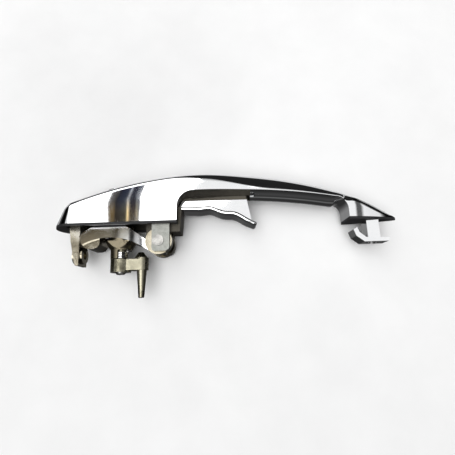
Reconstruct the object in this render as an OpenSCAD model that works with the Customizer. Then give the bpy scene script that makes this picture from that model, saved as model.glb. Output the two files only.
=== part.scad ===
// Outside door handle with a finger trigger and a key lock, for a left-hand car door.
// The origin is where the lock axis crosses the door skin. +X runs to the rear of the
// car, +Z is up and -Y points out of the door. Every shape below is drawn with its
// second coordinate pointing outward, and outward() turns it over to that frame.

/* [Overall] */
// Distance from the lock axis to the rear tip
rear_reach = 39.5; // [38:0.5:48]
// Distance from the lock axis to the front tip
front_reach = 170; // [145:0.5:206]
// Height of the outer face above the door skin at its highest point
rise = 31; // [29:0.5:38]
// Distance from the lock axis forward to the highest point
apex_back = 56.5; // [50:0.5:70]
// Half width of the wide rear end
wedge_half = 13; // [12.8:0.1:16]
// Half width of the bow
bow_half = 9.5; // [8.8:0.1:12]
// Half width of the front foot
foot_half = 8.5; // [7:0.1:11]
// Length of the front foot
foot_len = 33; // [30:0.5:42]
// Distance from the lock axis forward to the wall that ends the wide rear end
wedge_front = 35.5; // [35:0.5:38]
// Thickness of the rubber seals
seal_t = 1.5; // [1:0.1:2.5]

/* [Shell] */
// Side wall of the wide rear end
side_wall = 1.6; // [1.2:0.1:1.6]
// Outer skin of the wide rear end
skin = 2.2; // [1.6:0.1:2.6]
// Front wall of the wide rear end
front_wall = 2; // [1.5:0.1:2.2]
// Thickness of the bow at its side edges
bow_t = 10.6; // [9:0.1:12]
// Outer skin over the slot in the bow
bow_skin = 2.4; // [1.6:0.1:3]
// How far the underside of the bow bulges toward the door
belly = 4.1; // [2:0.1:5]
// Radius of the bow's underside, seen from above
bow_inner_r = 360; // [300:5:500]
// Crown of the outer face across its width
crown = 1.2; // [0.5:0.1:2]
// Radius of the long outer edges
edge_r = 1.4; // [0.8:0.1:2.5]
// Lean of the rear end wall in degrees
rear_lean = 26; // [5:1:30]

/* [Trigger] */
// Pivot distance forward of the lock axis
pivot_back = 24.3; // [23.5:0.1:26]
// Pivot depth behind the door skin
pivot_in = 9.9; // [8:0.1:12]
// Radius of the pivot pin
pin_r = 2.3; // [1.8:0.1:3]
// Radius of the trigger's hub
hub_r = 7.9; // [6.5:0.1:8]
// Length of the finger rest
finger_len = 44.6; // [38:0.5:50]
// Half width of the finger rest
finger_half = 7.5; // [6.5:0.1:7.8]
// Half width of the web that enters the bow
web_half = 5; // [4:0.1:6]
// Thickness of the finger rest
finger_t = 2; // [1.5:0.1:3]
// Thickness of the two cheeks beside the lock
cheek_t = 1.7; // [1.2:0.1:1.8]
// Height of the trigger's arms over the lock barrel, above the door skin
arm_top = 1.7; // [1:0.1:2]

/* [Lock] */
// Radius of the lock barrel
barrel_r = 6.9; // [6.2:0.1:7]
// Radius of the key cylinder
plug_r = 5; // [4.6:0.1:5.2]
// Radius of the key cylinder's tail
tail_r = 3.5; // [2.8:0.1:3.8]
// Height of the lock's face above the door skin
lock_face = 23; // [22.5:0.1:27]
// Distance from the lock axis to the crank's pin
crank_throw = 12.7; // [11.8:0.1:13.2]
// Radius of the crank's boss
crank_boss_r = 6.1; // [5.4:0.1:6.6]
// Depth of the tip of the crank's pin behind the door skin
crank_tip = 42; // [36:0.5:48]
// Number of wafers in the key cylinder
wafer_count = 5; // [3:1:6]

/* [Mountings] */
// Radius of the tapped hole for the rear screw
rear_screw_r = 2.5; // [2:0.1:2.8]
// Depth of the rear screw's axis behind the door skin
rear_screw_in = 16; // [14:0.5:18]
// Depth of the rear post behind the door skin
post_in = 22.5; // [20:0.5:28]
// Depth of the front hook behind the door skin
hook_in = 13.6; // [11:0.1:18]
// Length of the front hook's plate
hook_len = 22; // [18:0.5:25]

/* [Hidden] */
$fn = 64;
chrome = [0.86, 0.87, 0.88];
zinc = [0.55, 0.54, 0.48];
steel = [0.66, 0.66, 0.64];
black = [0.08, 0.08, 0.09];

far = 400;         // longer than any handle

// clearances
eps = 0.01;
run_gap = 0.05;    // radial, round parts that turn in each other
slip_gap = 0.1;    // radial, parts that are assembled and stay put
free_gap = 0.3;    // between faces that pass each other
wide_gap = 0.5;    // between rough faces

// The outer face is one arc from the rear to the front tip, seen from above.
face_run = front_reach - apex_back;
face_drop = rise - seal_t;
face_r = (face_run * face_run + face_drop * face_drop) / (2 * face_drop);
face_c = rise - face_r;
inner_rise = rise - bow_t;
inner_apex = apex_back + 8.5;     // the underside's highest point is a little further forward
inner_c = inner_rise - bow_inner_r;
foot_x = front_reach - foot_len;
nose_len = 12.5;
taper_len = 45;
rear_corner = 10;
front_corner = 8;
foot_lean = 2;

function face_u(x) = face_c + sqrt(face_r * face_r - pow(x + apex_back, 2));
function inner_u(x) = inner_c + sqrt(pow(bow_inner_r, 2) - pow(x + inner_apex, 2));
function ease(t) = t * t * (3 - 2 * t);

module outward() { mirror([0, 1, 0]) children(); }
// a flat shape given in the side view, thickened by half on both sides of the middle
module slab(half) { translate([0, 0, -half]) linear_extrude(2 * half) children(); }
module slab_between(z0, z1) { translate([0, 0, z0]) linear_extrude(z1 - z0) children(); }
// a round bar along the outward direction, from depth u0 to u1
module bar(r, u0, u1, x = 0) {
    translate([x, u0, 0]) rotate([-90, 0, 0]) cylinder(r = r, h = u1 - u0);
}
module tapered_bar(r0, r1, u0, u1, x = 0) {
    translate([x, u0, 0]) rotate([-90, 0, 0]) cylinder(r1 = r0, r2 = r1, h = u1 - u0);
}
module box(x0, x1, u0, u1, half) {
    translate([x0, u0, -half]) cube([x1 - x0, u1 - u0, 2 * half]);
}
module mirrored_pair() {
    children();
    mirror([0, 0, 1]) children();
}

// a round wire swept along a path, with a ring of corners at each point
module wire(path, r, sides = 8) {
    n = len(path);
    dirs = [for (i = [0:n - 1]) path[min(i + 1, n - 1)] - path[max(i - 1, 0)]];
    side = [for (d = dirs) let (c = cross(d, [0.13, 0.21, 1])) c / norm(c)];
    up = [for (i = [0:n - 1]) let (c = cross(side[i], dirs[i])) c / norm(c)];
    corners = [for (i = [0:n - 1], k = [0:sides - 1])
        path[i] + r * (cos(360 * k / sides) * side[i] + sin(360 * k / sides) * up[i])];
    walls = [for (i = [0:n - 2], k = [0:sides - 1]) let (m = (k + 1) % sides)
        each [[i * sides + k, i * sides + m, (i + 1) * sides + m],
              [i * sides + k, (i + 1) * sides + m, (i + 1) * sides + k]]];
    ends = [[for (k = [sides - 1:-1:0]) k],
            [for (k = [0:sides - 1]) (n - 1) * sides + k]];
    polyhedron(corners, concat(walls, ends));
}
// points of a coil about the Z axis
function coil(r, z0, z1, turns, start = 0, steps = 14) = [for (i = [0:turns * steps])
    let (a = start + 360 * i / steps) [r * cos(a), r * sin(a), z0 + (z1 - z0) * i / (turns * steps)]];

// ---- chrome body ----

// half width of the handle along its length, as a closed outline in X and Z
function plan_half(inset) = concat(
    [for (a = [0:10:90]) [rear_reach - nose_len + (nose_len - inset) * cos(a),
        (wedge_half - inset) * sin(a)]],
    [for (i = [0:8]) [-wedge_front - taper_len * i / 8,
        wedge_half - inset + (bow_half - wedge_half) * ease(i / 8)]],
    [for (i = [0:8]) let (t = i / 8) [-foot_x - foot_len * t,
        foot_half * (1 - pow(t, 1.7)) * 0.93 + foot_half * 0.07]]);
module plan_prism(u0, u1, inset = 0) {
    side = plan_half(inset);
    other = [for (i = [len(side) - 1:-1:1]) [side[i][0], -side[i][1]]];
    translate([0, u1, 0]) rotate([90, 0, 0]) linear_extrude(u1 - u0) polygon(concat(side, other));
}
// everything forward of the leaning rear end wall
module rear_limit(inset = 0) {
    translate([rear_reach - inset, seal_t, 0]) rotate([0, 0, rear_lean])
        box(-far, 0, -far, far, far);
}
// everything inside an arc that runs parallel to the outer face
module under_face(depth, half = 40) {
    translate([-apex_back, face_c, 0]) cylinder(r = face_r - depth, h = 2 * half, center = true, $fn = 200);
}
// the outer skin's section, crowned and with rounded edges, swept along the face
module crowned_band() {
    half = wedge_half + eps;
    section = concat([[face_r - 60, -half], [face_r - crown - edge_r, -half]],
        [for (i = [-6:6]) let (z = i / 6) [face_r - crown * z * z - (abs(i) == 6 ? edge_r * 0.3 : 0),
            z * (half - edge_r * 0.3)]],
        [[face_r - crown - edge_r, half], [face_r - 60, half]]);
    from = 90 - asin((rear_reach + apex_back + 6) / face_r);
    to = 90 + asin((face_run + 6) / face_r);
    translate([-apex_back, face_c, 0]) rotate([0, 0, from])
        rotate_extrude(angle = to - from, $fn = 200) polygon(section);
}
module finger_gap_outline() {
    cx = -wedge_front - rear_corner;
    cu = inner_u(cx) - rear_corner;
    fx = -foot_x + foot_lean + front_corner;
    fu = inner_u(fx) - front_corner;
    polygon(concat([[-wedge_front, -5]],
        [for (a = [0:10:90]) [cx + rear_corner * cos(a), cu + rear_corner * sin(a)]],
        [for (i = [1:15]) let (x = cx + (fx - cx) * i / 16) [x, inner_u(x)]],
        [for (a = [90:10:180]) [fx + front_corner * cos(a), fu + front_corner * sin(a)]],
        [[-foot_x - foot_lean, -5]]));
}
module belly_bulge() {
    half = bow_half - 0.2;
    r = (half * half + belly * belly) / (2 * belly);
    reach = asin(half / r);
    section = concat([[bow_inner_r + 1, -half]],
        [for (i = [-6:6]) let (a = reach * i / 6) [bow_inner_r - belly + r - r * cos(a), r * sin(a)]],
        [[bow_inner_r + 1, half]]);
    from = 90 - asin((inner_apex - wedge_front - 3) / bow_inner_r);
    to = 90 + asin((foot_x - inner_apex - 3) / bow_inner_r);
    translate([-inner_apex, inner_c, 0]) rotate([0, 0, from])
        rotate_extrude(angle = to - from, $fn = 200) polygon(section);
}

// slot in the bow that the trigger's web swings in
slot_half = web_half + wide_gap;
finger_x = -wedge_front - 1.8;
finger_front = finger_x - finger_len;
slot_front = finger_front + 2;
web_rise = 3.9;                    // room over the web for the trigger's swing
root_top = 14.5;                   // top of the way through the front wall
slot_rear = -wedge_front - 1.5;
counter_r = 9.2;                   // seat of the lock, sunk into the outer face
counter_u = lock_face - 2.2;
collar_r = counter_r + 1;
collar_top = lock_face + 0.3;
barrel_top = lock_face - 1.4;
boss_u = 12;                       // where the bosses inside the wide end stop
housing_screw_x = 11;
bracket_screw_x = [-pivot_back + 2, -pivot_back - 3.8];
m3_r = 1.5;
thread_depth = 5;
bracket_u = 19.2;
screw_boss_r = 2.8;
post_front = 22.1;
post_wall = post_front + 1.4;
post_rear = 29.8;
post_half = 6;
post_boss_r = 5.2;
post_boss_len = 6.2;
stem_x = -(front_reach - 16);
stem_half_len = 3.75;
stem_half = 4.2;
cheek_in = barrel_r + 0.4;
cheek_out = cheek_in + cheek_t;
ear_in = cheek_out + free_gap;
ear_out = ear_in + 1.6;

module rear_post() {
    slab(post_half) polygon([[post_wall, 0], [post_rear, 0], [post_rear - 0.9, -8],
        [post_rear - 4.2, -post_in], [post_wall, -post_in]]);
    box(post_wall, post_rear, -eps, face_u(post_rear) - skin / 2, post_half);
    translate([post_front, -rear_screw_in, 0]) rotate([0, 90, 0])
        cylinder(r = post_boss_r, h = post_boss_len);
}
module handle_body() {
    color(chrome) outward() difference() {
        union() {
            difference() {
                intersection() {
                    crowned_band();
                    plan_prism(seal_t, rise + 5);
                    rear_limit();
                }
                difference() {
                    slab(wedge_half + 5) finger_gap_outline();
                    belly_bulge();
                }
                // the hollow of the wide rear end
                intersection() {
                    under_face(skin);
                    plan_prism(seal_t - 1, rise + 5, side_wall);
                    rear_limit(side_wall);
                    box(-wedge_front + front_wall, rear_reach, -5, rise, wedge_half);
                }
            }
            bar(collar_r, lock_face - 5, collar_top);
            bar(counter_r + 0.6, boss_u, counter_u + 1);
            for (x = [-housing_screw_x, housing_screw_x])
                bar(screw_boss_r, boss_u, face_u(x + screw_boss_r) - skin / 2 - crown, x);
            for (x = bracket_screw_x) bar(screw_boss_r, bracket_u, face_u(x) - skin / 2, x);
            rear_post();
        }
        // the slot in the bow
        intersection() {
            under_face(bow_skin);
            box(slot_front, slot_rear, -5, rise, slot_half);
        }
        box(slot_rear - wide_gap, -wedge_front + front_wall + 1, -5, web_top + web_rise, slot_half);
        // the way through the front wall for the trigger's root
        box(-wedge_front - 1, -wedge_front + front_wall + 1, -5, root_top, finger_half + wide_gap);
        bar(counter_r, counter_u, rise + 5);
        bar(barrel_r + slip_gap, 0, rise);
        for (x = [-housing_screw_x, housing_screw_x])
            bar(m3_r, boss_u - 1, boss_u + thread_depth + 1, x);
        for (x = bracket_screw_x) bar(m3_r, bracket_u - 1, bracket_u + thread_depth - 0.5, x);
        bar(m3_r, 0, seal_t + thread_depth - 0.5, stem_x);
        translate([0, -rear_screw_in, 0]) rotate([0, 90, 0]) cylinder(r = rear_screw_r, h = 60);
    }
}

// ---- seals ----
module rear_seal() {
    color(black) outward() difference() {
        intersection() {
            plan_prism(0, seal_t);
            box(-wedge_front, rear_reach + 1, -1, seal_t + 1, wedge_half + 1);
        }
        intersection() {
            plan_prism(-1, seal_t + 1, wedge_half - ear_out - 0.2);
            box(-wedge_front + front_wall, post_rear + 0.7, -2, seal_t + 2, wedge_half);
        }
        box(-wedge_front - 1, 0, -1, seal_t + 1, finger_half + wide_gap);
    }
}
module front_seal() {
    color(black) outward() difference() {
        intersection() {
            plan_prism(0, seal_t);
            box(-front_reach - 1, -foot_x - foot_lean, -1, seal_t + 1, foot_half + 2);
        }
        box(stem_x - stem_half_len - slip_gap, stem_x + stem_half_len + slip_gap, -1, seal_t + 1,
            stem_half + slip_gap);
    }
}

// ---- front hook ----
hook_t = 2.2;
hook_half = 5;
module front_hook() {
    x0 = stem_x - 9.6;
    x1 = x0 + hook_len;
    color(chrome) outward() difference() {
        union() {
            box(stem_x - stem_half_len, stem_x + stem_half_len, -hook_in + 1, seal_t, stem_half);
            slab(hook_half) polygon(concat(
                [[x0 + 1.2, -hook_in], [x1 - 6, -hook_in], [x1 - 1.4, -hook_in + 3.6], [x1, -hook_in + 7.6]],
                [[x1 - 2.4, -hook_in + 9], [x1 - 3.4, -hook_in + 6], [x1 - 7, -hook_in + hook_t + 0.6]],
                [[stem_x + stem_half_len, -hook_in + hook_t + 0.2], [x0 + 1.2, -hook_in + hook_t],
                 [x0, -hook_in + hook_t / 2]]));
            // raised pad round the screw
            bar(stem_half, -hook_in + 1, -hook_in + 4.8, stem_x);
        }
        bar(m3_r + 0.2, -hook_in - 1, seal_t + 1, stem_x);
        bar(3.2, -hook_in - 1, -hook_in + 2, stem_x);
    }
}
// a pan-head screw along the outward direction, with a cross recess in its head
module screw(x, head_u, tip_u, head_r = 2.7, head_t = 1.6) {
    difference() {
        union() {
            bar(m3_r, head_u - eps, tip_u, x);
            tapered_bar(head_r * 0.8, head_r, head_u - head_t, head_u - head_t * 0.6, x);
            bar(head_r, head_u - head_t * 0.6, head_u, x);
        }
        for (a = [0, 90]) translate([x, head_u - head_t - 1, 0]) rotate([0, a, 0])
            translate([-1.3, 0, -0.3]) cube([2.6, 1.9, 0.6]);
    }
}
module hook_screw() { color(steel) outward() screw(stem_x, -hook_in + 2, seal_t + 4.2); }

// ---- pivot bracket and pin ----
bracket_rear = -pivot_back + hub_r - 0.4;
bracket_front = -wedge_front + 4.5;
ear_rear = -pivot_back + pin_r + 1.4;
ear_bottom = -pivot_in - hub_r + 1.6;
module pivot_bracket() {
    color(zinc) outward() difference() {
        union() {
            box(bracket_front, bracket_rear, bracket_u - 1.6, bracket_u, ear_out);
            mirrored_pair() slab_between(ear_in, ear_out) polygon([
                [bracket_front, bracket_u], [bracket_front, ear_bottom + 2],
                [bracket_front + 0.6, ear_bottom + 0.9], [bracket_front + 2.2, ear_bottom],
                [ear_rear - 1.6, ear_bottom], [ear_rear - 0.4, ear_bottom + 0.6], [ear_rear, ear_bottom + 2],
                [ear_rear, 1], [bracket_rear, 6], [bracket_rear, bracket_u]]);
        }
        translate([-pivot_back, -pivot_in, 0]) cylinder(r = pin_r, h = 60, center = true);
        for (x = bracket_screw_x) bar(m3_r + 0.2, 0, bracket_u + 1, x);
    }
}
module bracket_screws() {
    color(steel) outward() for (x = bracket_screw_x) screw(x, bracket_u - 1.6, bracket_u + 4.2);
}
pin_end = ear_out + 1.5;
module pivot_pin() {
    color(steel) outward() translate([-pivot_back, -pivot_in, 0]) difference() {
        union() {
            cylinder(r = pin_r, h = 2 * pin_end - 0.8, center = true);
            translate([0, 0, ear_out]) cylinder(r = pin_r + 1, h = 0.7);
        }
        // groove for the clip
        translate([0, 0, -ear_out - 0.75]) difference() {
            cylinder(r = pin_r + 1, h = 0.7);
            translate([0, 0, -1]) cylinder(r = pin_r - 0.5, h = 3);
        }
    }
}
module pin_clip() {
    color(steel) outward() translate([-pivot_back, -pivot_in, -ear_out - 0.7]) difference() {
        cylinder(r = pin_r + 1.5, h = 0.6);
        translate([0, 0, -1]) cylinder(r = pin_r - 0.5, h = 3);
        translate([-0.9, 0, -1]) cube([1.8, 10, 3]);
    }
}

// ---- trigger ----
// height of the finger rest's hand side, at a distance s from its root: a long curve
// with two ridges between the fingers
function rest_u(s) = 8.9 - 10.4 * pow(s / finger_len, 2.2)
    + (s > 10 && s < 41 ? 0.65 * (1 - cos(360 * (s - 10) / 15.5)) : 0);
rest_steps = 30;
web_top = inner_rise - 2.9;
function rest_points(lift, from = 0, to = 1) = [for (i = [0:rest_steps])
    let (s = finger_len * (from + (to - from) * i / rest_steps)) [finger_x - s, rest_u(s) + lift]];
function flipped(list) = [for (i = [len(list) - 1:-1:0]) list[i]];
spring_gap = 3.6;

module web_outline(inset) {
    polygon(concat(rest_points(1, 0.08, (finger_len - 1 - inset) / finger_len),
        [[finger_front + 4.6 + inset, web_top], [finger_x - 2.2 - inset, web_top],
         [finger_x + 0.9 - inset, web_top - 4.5], [finger_x + 0.9 - inset, 10]]));
}
// the pad at the rear of the trigger's arms, which presses the latch's lever
pad_x0 = 11;
pad_x1 = 21;
pad_top = -5.2;
pad_wide = -10.6;
pad_tip = -13.2;
arm_x = 5.2;
arm_r = 24;
arm_under_r = 34.8;
arm_depth = 8.6;
module cheek_outline() {
    // two arcs, the outer one tighter, that carry the arm over the lock barrel
    outer_u = arm_top - arm_r;
    under_u = arm_top - arm_depth - arm_under_r;
    polygon(concat([for (a = [128:-6:44]) [arm_x + arm_r * cos(a), outer_u + arm_r * sin(a)]],
        [[pad_x1, pad_wide - 0.4]],
        [for (a = [64:5:122]) [arm_x + arm_under_r * cos(a), under_u + arm_under_r * sin(a)]],
        [[-pivot_back + 2, -pivot_in - hub_r + 0.2], [-pivot_back, -pivot_in],
         [-pivot_back + hub_r - 0.6, -pivot_in + 1]]));
}
module trigger() {
    root_rear = -pivot_back + hub_r;
    color(chrome) outward() difference() {
        union() {
            // finger rest
            slab(finger_half) polygon(concat(rest_points(0), flipped(rest_points(finger_t))));
            translate([finger_front + 0.6, rest_u(finger_len) + finger_t / 2, -finger_half])
                cylinder(r = finger_t / 2 + 0.3, h = 2 * finger_half);
            // hollow web
            difference() {
                slab(web_half) web_outline(0);
                slab(web_half - 1.6) web_outline(1.6);
            }
            // root, from the finger rest down to the hub
            slab(finger_half) polygon([[finger_x - 0.4, rest_u(0)], [finger_x + 0.6, -4.3],
                [-pivot_back - 6.7, -4.3], [-pivot_back - hub_r + 0.3, -pivot_in - 1],
                [-pivot_back, -pivot_in],
                [root_rear - 0.3, -pivot_in + 1], [root_rear - 0.4, 2.5], [root_rear - 8, 9.2],
                [finger_x - 0.4, rest_u(0) + finger_t]]);
            mirrored_pair() translate([-pivot_back, -pivot_in, spring_gap])
                cylinder(r = hub_r, h = cheek_out - spring_gap);
            mirrored_pair() slab_between(cheek_in, cheek_out) cheek_outline();
            box(pad_x0, pad_x1, pad_wide, pad_top, cheek_in + eps);
            slab(cheek_in) polygon([[pad_x0, pad_wide], [pad_x0 + 1.4, pad_tip + 0.6],
                [pad_x0 + 3.5, pad_tip], [pad_x1 - 3.4, pad_tip], [pad_x1 - 1.2, pad_tip + 0.8],
                [pad_x1, pad_wide]]);
        }
        translate([-pivot_back, -pivot_in, 0]) cylinder(r = pin_r + run_gap, h = 60, center = true);
        // room for the spring between the two halves of the hub
        translate([-pivot_back, -pivot_in, 0]) cylinder(r = hub_r + 1.2, h = 2 * spring_gap, center = true);
        box(-pivot_back - 1.5, root_rear + 1, -pivot_in, 12, spring_gap);
    }
}
spring_wire = 0.6;
module trigger_spring() {
    r = pin_r + 1.2 + spring_wire;
    pts = coil(r, -spring_gap + 1, spring_gap - 1, 4, 0, 12);
    n = len(pts);
    leg = [[hub_r - 1.9, bracket_u + pivot_in - 1.8, -spring_gap + 1], [r + 0.3, 4, -spring_gap + 1]];
    tail = [[r * 0.98, -3.4, spring_gap - 1], [0.5, -6.6, spring_gap - 1], [-4, -7, spring_gap - 1]];
    color(steel) outward() translate([-pivot_back, -pivot_in, 0])
        wire(concat(leg, pts, tail), spring_wire, 6);
}

// ---- lock ----
flange_u = -8.5;
funnel_u = -13;
skirt_u = -19;
plate_t = 2.4;
plate_half = 14;
flange_half = 9.8;
skirt_r = 6.3;
module lock_housing() {
    color(zinc) outward() difference() {
        union() {
            bar(counter_r - 0.4, barrel_top, lock_face);
            bar(barrel_r, funnel_u, barrel_top + eps);
            box(-plate_half, plate_half, boss_u - plate_t, boss_u, barrel_r);
            intersection() {
                tapered_bar(skirt_r + 0.6, flange_half, funnel_u, flange_u + 0.6);
                box(-flange_half, flange_half, funnel_u, flange_u, barrel_r);
            }
            bar(skirt_r, skirt_u, funnel_u + eps);
        }
        bar(plug_r + run_gap, -11.5, lock_face + 1);
        bar(tail_r + run_gap, funnel_u - 1, 0);
        bar(skirt_r - 1.3, skirt_u - 1, funnel_u);
        // the skirt is open toward the crank, so that the spring's leg can move
        box(-10, 0.5, skirt_u - 1, funnel_u - 0.8, 12);
        for (x = [-housing_screw_x, housing_screw_x]) bar(m3_r + 0.2, 0, boss_u + 1, x);
    }
}
module housing_screws() {
    color(steel) outward() for (x = [-housing_screw_x, housing_screw_x])
        screw(x, boss_u - plate_t, boss_u + thread_depth + 0.6);
}
module lock_seal() {
    color(black) outward() difference() {
        bar(counter_r - 0.3, counter_u, barrel_top);
        bar(barrel_r + slip_gap, 0, rise);
    }
}
cap_t = 0.5;
module lock_cap() {
    color(steel) outward() difference() {
        union() {
            bar(counter_r - 0.15, barrel_top + 0.1, lock_face + cap_t - 0.25);
            tapered_bar(counter_r - 0.15, counter_r - 0.5, lock_face + cap_t - 0.25 - eps, lock_face + cap_t);
        }
        bar(counter_r - 0.4, 0, lock_face);
        bar(plug_r + 0.15, 0, rise);
    }
}
key_w = 1.1;       // half width of the keyway
key_h = 3.6;       // half height of the keyway
key_depth = 24;
tail_end = -24.5;
wafer_t = 0.9;
wafer_pitch = 3.5;
wafer_spring_x = 3.4;
function wafer_u(i) = lock_face - 8 - wafer_pitch * i;
hinge_x = key_w + 0.75;
hinge_u = lock_face - 0.65;
module lock_plug() {
    color(zinc) outward() difference() {
        union() {
            bar(plug_r, -11.3, lock_face);
            bar(tail_r, tail_end, -11.3 + eps);
        }
        box(-key_w, key_w, lock_face - key_depth, lock_face + 1, key_h);
        // pocket for the shutter behind the face
        box(-key_w - 0.1, hinge_x + 0.75, lock_face - 3.6, lock_face + 1, key_h);
        for (i = [0:wafer_count - 1]) box(-2.6, 2.6, wafer_u(i), wafer_u(i) + wafer_t + 0.1, 8);
        for (i = [0:wafer_count - 1]) translate([wafer_spring_x, wafer_u(i) + wafer_t / 2, 0])
            cylinder(r = 0.8, h = 5.6, center = true);
        bar(m3_r - 0.3, tail_end - 1, tail_end + 7);
    }
}
module plug_face() {
    color(steel) outward() difference() {
        bar(plug_r - 0.05, lock_face, lock_face + cap_t);
        box(-key_w + 0.1, key_w - 0.1, 0, rise, key_h - 0.3);
    }
}
module key_shutter() {
    color(steel) outward() {
        translate([hinge_x, hinge_u, 0]) cylinder(r = 0.35, h = 2 * key_h - 0.3, center = true, $fn = 32);
        box(-key_w + 0.2, hinge_x, hinge_u - 0.25, hinge_u + 0.2, key_h - 0.3);
    }
}
module wafers() {
    color([0.72, 0.6, 0.3]) outward() for (i = [0:wafer_count - 1]) difference() {
        intersection() {
            box(-2.5, 2.5, wafer_u(i) + 0.05, wafer_u(i) + 0.05 + wafer_t, 8);
            bar(plug_r - 0.1, 0, lock_face);
        }
        box(-key_w - 0.1, key_w + 0.1, 0, lock_face, key_h - 0.5);
    }
}
module wafer_springs() {
    color(steel) outward() for (i = [0:wafer_count - 1])
        translate([wafer_spring_x, wafer_u(i) + wafer_t / 2, 0])
            wire(coil(0.5, -2.4, 2.4, 4, 0, 8), 0.14, 5);
}
module thrust_washer() {
    color(steel) outward() difference() {
        bar(skirt_r - 1.4, funnel_u - 0.7, funnel_u - 0.2);
        bar(tail_r + 0.05, -30, 0);
    }
}
crank_top = -19.5;
arm_bottom = -26;
boss_bottom = -27;
module crank() {
    color(zinc) outward() difference() {
        union() {
            bar(crank_boss_r, boss_bottom, crank_top);
            // arm, wide at the boss and narrower at the pin
            intersection() {
                rotate([-90, 0, 0]) translate([0, 0, arm_bottom]) linear_extrude(crank_top - arm_bottom)
                    polygon([[0, -4.6], [0, 4.6], [-crank_throw, 4], [-crank_throw, -4]]);
                slab(10) polygon([[0, arm_bottom], [0, crank_top], [-9, crank_top],
                    [-crank_throw, crank_top], [-crank_throw, arm_bottom]]);
            }
            bar(4, arm_bottom, crank_top + 1, -crank_throw);
            tapered_bar(4, 1.6, crank_top + 1 - eps, -15.2, -crank_throw + 0.6);
            tapered_bar(1.75, 3, -crank_tip, arm_bottom + eps, -crank_throw);
            tapered_bar(1.35, 1.75, -crank_tip - 0.4, -crank_tip + eps, -crank_throw);
        }
        bar(tail_r, tail_end, crank_top + 1);
        bar(m3_r, boss_bottom - 1, crank_top);
    }
}
module crank_screw() {
    color(steel) outward() difference() {
        union() {
            bar(m3_r - 0.3, boss_bottom - eps, tail_end + 6.5);
            tapered_bar(2.2, 2.9, boss_bottom - 1.3, boss_bottom - 0.7);
            bar(2.9, boss_bottom - 0.7, boss_bottom);
        }
        box(-0.35, 0.35, boss_bottom - 2, boss_bottom - 0.6, 4);
    }
}
module crank_spring() {
    color(steel) outward() translate([0, -18.5, 0]) rotate([-90, 0, 0])
        wire(coil(tail_r + 0.75, 0, 4, 4, 200, 14), 0.45, 6);
}

handle_body();
rear_seal();
front_seal();
front_hook();
hook_screw();
pivot_bracket();
bracket_screws();
pivot_pin();
pin_clip();
trigger();
trigger_spring();
lock_housing();
housing_screws();
lock_seal();
lock_cap();
lock_plug();
plug_face();
key_shutter();
wafers();
wafer_springs();
thrust_washer();
crank();
crank_screw();
crank_spring();
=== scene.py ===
import math

import bmesh
import bpy
from mathutils import Matrix, Vector


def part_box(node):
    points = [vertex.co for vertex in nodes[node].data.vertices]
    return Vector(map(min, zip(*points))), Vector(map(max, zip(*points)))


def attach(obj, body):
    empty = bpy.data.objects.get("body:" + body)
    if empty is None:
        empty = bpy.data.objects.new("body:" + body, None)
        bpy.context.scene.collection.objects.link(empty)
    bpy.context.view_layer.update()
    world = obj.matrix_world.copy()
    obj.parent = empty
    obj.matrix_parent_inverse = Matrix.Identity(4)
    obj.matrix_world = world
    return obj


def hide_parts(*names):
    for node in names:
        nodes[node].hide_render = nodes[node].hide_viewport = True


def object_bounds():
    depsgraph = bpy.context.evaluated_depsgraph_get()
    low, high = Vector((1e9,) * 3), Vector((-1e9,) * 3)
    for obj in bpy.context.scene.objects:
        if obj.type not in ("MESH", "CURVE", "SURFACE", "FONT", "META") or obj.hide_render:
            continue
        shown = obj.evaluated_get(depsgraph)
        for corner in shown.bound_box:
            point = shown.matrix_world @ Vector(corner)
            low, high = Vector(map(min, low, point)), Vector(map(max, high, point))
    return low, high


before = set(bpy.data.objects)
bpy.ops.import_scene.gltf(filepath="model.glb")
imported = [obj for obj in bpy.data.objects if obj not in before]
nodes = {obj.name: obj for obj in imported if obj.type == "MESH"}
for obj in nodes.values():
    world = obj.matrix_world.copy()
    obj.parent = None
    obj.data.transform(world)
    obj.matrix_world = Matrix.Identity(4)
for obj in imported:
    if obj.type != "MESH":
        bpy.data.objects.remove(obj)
size_at_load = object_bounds()
scene = bpy.context.scene


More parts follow.
